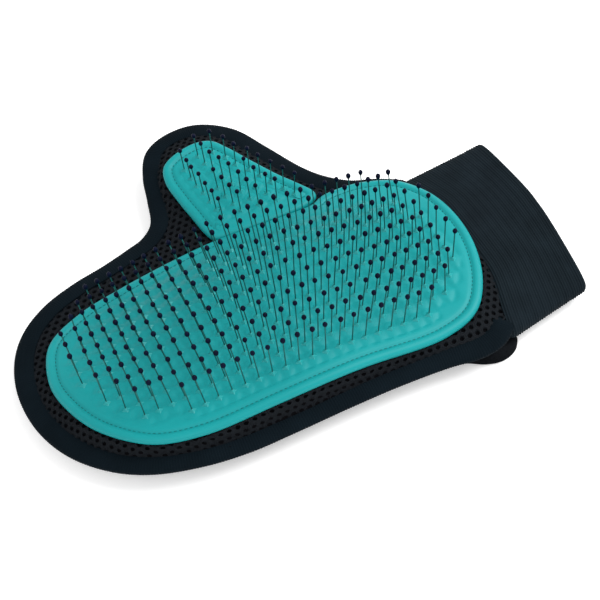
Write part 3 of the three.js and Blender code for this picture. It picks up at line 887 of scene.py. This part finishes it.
# The hem: where it starts, as a share of the length, and how far it stands out.
HEM_SHARE = 0.8
HEM_LIFT = 0.12
# How far the cuff is drawn in at the seam and rounded off at the mouth.
SEAM_TUCK = 0.9
LIP_ROUND = 0.5


def cuff_start_x(y):
    """The seam follows the wrist end of the palm pad."""
    low = smoothstep((-(y - PALM[1]) - 15) / 40)
    high = smoothstep((y - PALM[1] - 22) / 30)
    return PALM[0] + 90.5 - 7.5 * low - 7.0 * high


def cuff_end_x(y):
    """The mouth is nearly straight and slants back on the little-finger side."""
    below = 12 - (y - PALM[1])
    bulge = 1.6 * np.exp(-(((below - 8) / 30) ** 2))
    slant = 0.012 * below - 0.055 * (below + np.sqrt(below**2 + 60))
    return PALM[0] + 129.6 + slant + bulge


def cuff_ring(share, grow):
    """One loop of the flattened cuff at a share of its length, moved out by grow."""
    turn = np.linspace(0, 2 * math.pi, CUFF_SIDES, endpoint=False)
    wide = np.sign(np.cos(turn)) * np.abs(np.cos(turn)) ** 0.58
    high = np.sign(np.sin(turn)) * np.abs(np.sin(turn)) ** 0.66
    middle_y, middle_z, half_width, half_height = CUFF_AT_SEAM + CUFF_GAIN * share
    sag = 0.5 * math.sin(2.6 * share + 0.6) * np.sin(turn) * np.cos(3.1 * wide + 0.8)
    y = PALM[1] + middle_y + wide * (half_width + grow)
    z = middle_z + high * (half_height + grow) + sag
    x = cuff_start_x(y) + (cuff_end_x(y) - cuff_start_x(y)) * share
    return np.column_stack([x, y, z])


def build_cuff(material):
    """Ribbed elastic tube, with a turned hem at its mouth."""
    steps = int(CUFF_LENGTH / (CUFF_RIB / CUFF_RIB_STEPS))
    outer, inner = [], []
    for step in range(steps + 1):
        share = step / steps
        uneven = 1 + 0.35 * math.sin(step * 0.37) + 0.5 * share**3
        rib = CUFF_RIB_HEIGHT * uneven * math.cos(2 * math.pi * step / CUFF_RIB_STEPS)
        hem = HEM_LIFT * smoothstep((share - HEM_SHARE) / 0.02)
        tuck = -SEAM_TUCK * (1 - smoothstep(share / 0.06))
        lip = -LIP_ROUND * smoothstep((share - 0.985) / 0.015)
        outer.append(cuff_ring(share, rib + hem + tuck + lip))
        inner.append(cuff_ring(share, -CUFF_WALL + 0.6 * rib + tuck - 0.4 * hem - 0.5 * lip))
    vertices = np.vstack(outer + inner[::-1])
    faces = grid_faces(2 * (steps + 1), CUFF_SIDES, True).tolist()
    last = (2 * steps + 1) * CUFF_SIDES
    for i in range(CUFF_SIDES):
        j = (i + 1) % CUFF_SIDES
        faces.append([last + i, last + j, j, i])
    return make_object("cuff_elastic", vertices, faces, material)


# ---------------------------------------------------------------- building


rng = np.random.default_rng(7)
palm = Pad("palm", PALM_PAD_EDGE, PALM_PAD_MIDDLE, palm_top, palm_rim_share, palm_feet())
thumb = Pad("thumb", THUMB_PAD_EDGE, THUMB_PAD_MIDDLE, thumb_top, thumb_rim_share, thumb_feet())

rubber = make_rubber()
palm_pad = build_pad(palm, 600, 110, rubber)
thumb_pad = build_pad(thumb, 320, 60, rubber)
stitch = make_stitch()
palm_stitches = build_stitches(palm, stitch)
thumb_stitches = build_stitches(thumb, stitch)

# The bosses' lighter rubber is painted highlight, not a different rubber.
boss_rubber_painted_highlight = make_boss_rubber_painted_highlight()
steel = make_steel()
tip_plastic = make_tip()
palm_bosses = build_bosses(palm, rng, boss_rubber_painted_highlight)
thumb_bosses = build_bosses(thumb, rng, boss_rubber_painted_highlight)
palm_lean = rng.normal(0, WIRE_SPREAD, (len(palm.x), 3))
thumb_lean = rng.normal(0, WIRE_SPREAD, (len(thumb.x), 3)) + THUMB_PIN_LEAN
palm_wires = build_wires(palm, palm_lean, steel)
thumb_wires = build_wires(thumb, thumb_lean, steel)
palm_tips = build_tips(palm, palm_lean, rng, tip_plastic)
thumb_tips = build_tips(thumb, thumb_lean, rng, tip_plastic)

front_edge = edge_loop(FRONT_WRIST_HEIGHT)
back_edge = edge_loop(BACK_WRIST_HEIGHT)
palm_loop = spline(palm.edge, 400, closed=True)
thumb_loop = spline(thumb.edge, 220, closed=True)


def front(points):
    return front_height(points, front_edge, palm_loop, thumb_loop)


def back(points):
    return back_height(points, back_edge)


def in_edge(points):
    return is_inside(points, front_edge)


def hidden_by(points, loop):
    return is_inside(points, loop) & (nearest(points, loop)[0] > NET_UNDER_PAD)


def near_pad_edge(points):
    """Cells of the front net that show: outside the pads, or just under their rims."""
    return in_edge(points) & ~(hidden_by(points, palm_loop) | hidden_by(points, thumb_loop))


lining = make_lining()
net = make_net()
front_lining = build_lining("front_lining", front, front_edge, 50, 1, lining)
front_net = build_net("front_net", near_pad_edge, front, 1, net)
back_lining = build_lining("back_lining", back, front_edge, 40, -1, lining)
back_net = build_net("back_net", in_edge, back, -1, net)

tape = build_tape(make_tape())
back_tab = build_tab(net)
cuff = build_cuff(make_elastic())

# ---------------------------------------------------------------- how the pieces move

for piece in (palm_pad, palm_stitches, palm_bosses, palm_wires, palm_tips, back_tab):
    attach(piece, "palm")
for piece in (thumb_pad, thumb_stitches, thumb_bosses, thumb_wires, thumb_tips):
    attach(piece, "thumb")
for piece in (front_lining, front_net, back_lining, back_net, tape):
    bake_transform(piece)
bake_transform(cuff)

PALM_ROW_NODES = [f"palm_bristle_row_{k:02d}" for k in range(1, len(PALM_ROWS) + 1)]
THUMB_ROW_NODES = [f"thumb_bristle_row_{k}" for k in range(1, len(THUMB_ROWS) + 1)]
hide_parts("palm_pad", "palm_pad_backing")
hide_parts("thumb_pad", "thumb_pad_backing")
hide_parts(*PALM_ROW_NODES)
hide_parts(*THUMB_ROW_NODES)
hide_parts("palm_front_panel", "thumb_front_panel")
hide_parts("palm_back_panel", "thumb_back_panel")
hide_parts("finger_binding", "wrist_binding", "thumb_binding")
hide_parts("cuff_seam_band", "cuff_band", "cuff_hem")

# ---------------------------------------------------------------- stage, light and camera

FLOOR_SIZE = 30
FLOOR_Z = -0.0006
WORLD_STRENGTH = 0.75

# The camera looks down the fingers from the little-finger side, rolled a little.
ELEVATION = math.radians(49.4)
AZIMUTH = math.radians(-18.2)
ROLL = math.radians(-8.2)
DISTANCE = 0.510
TARGET = Vector(((PALM[0] + 9.9) * MM, (PALM[1] - 4.3) * MM, PAD_TOP * MM))
LENS = 73.97
SENSOR_WIDTH = 36


def build_floor(material):
    bpy.ops.mesh.primitive_plane_add(size=FLOOR_SIZE, location=(0, 0, FLOOR_Z))
    plane = bpy.context.object
    plane.name = "Floor"
    plane.data.materials.append(material)
    return plane


def set_world():
    world = bpy.data.worlds.new("Studio")
    bpy.context.scene.world = world
    world.use_nodes = True
    inputs = world.node_tree.nodes["Background"].inputs
    inputs["Color"].default_value = (1, 1, 1, 1)
    inputs["Strength"].default_value = WORLD_STRENGTH
    bpy.context.scene.view_settings.view_transform = "Standard"


def add_light(name, place, size, power):
    """A round area light that points at the frame's origin."""
    data = bpy.data.lights.new(name, "AREA")
    data.shape = "DISK"
    data.size = size
    data.energy = power
    lamp = bpy.data.objects.new(name, data)
    lamp.location = place
    lamp.rotation_euler = (-Vector(place)).to_track_quat("-Z", "Y").to_euler()
    bpy.context.scene.collection.objects.link(lamp)


def add_camera():
    out_x = math.sin(AZIMUTH) * math.cos(ELEVATION)
    out_y = -math.cos(AZIMUTH) * math.cos(ELEVATION)
    back_way = Vector((out_x, out_y, math.sin(ELEVATION)))
    level = Vector((math.cos(AZIMUTH), math.sin(AZIMUTH), 0))
    right = math.cos(ROLL) * level + math.sin(ROLL) * back_way.cross(level)
    upward = back_way.cross(right)
    place = TARGET + back_way * DISTANCE
    data = bpy.data.cameras.new("Camera")
    data.lens = LENS
    data.sensor_width = SENSOR_WIDTH
    camera = bpy.data.objects.new("Camera", data)
    bpy.context.scene.collection.objects.link(camera)
    matrix = camera.matrix_world.copy()
    for row in range(3):
        matrix[row][0] = right[row]
        matrix[row][1] = upward[row]
        matrix[row][2] = back_way[row]
        matrix[row][3] = place[row]
    camera.matrix_world = matrix
    bpy.context.scene.camera = camera


floor = build_floor(make_floor())
set_world()
add_light("Key", (0.75, -0.1, 0.85), 0.9, 12)
add_light("Fill", (-0.6, -0.6, 0.9), 1.0, 4)
add_camera()
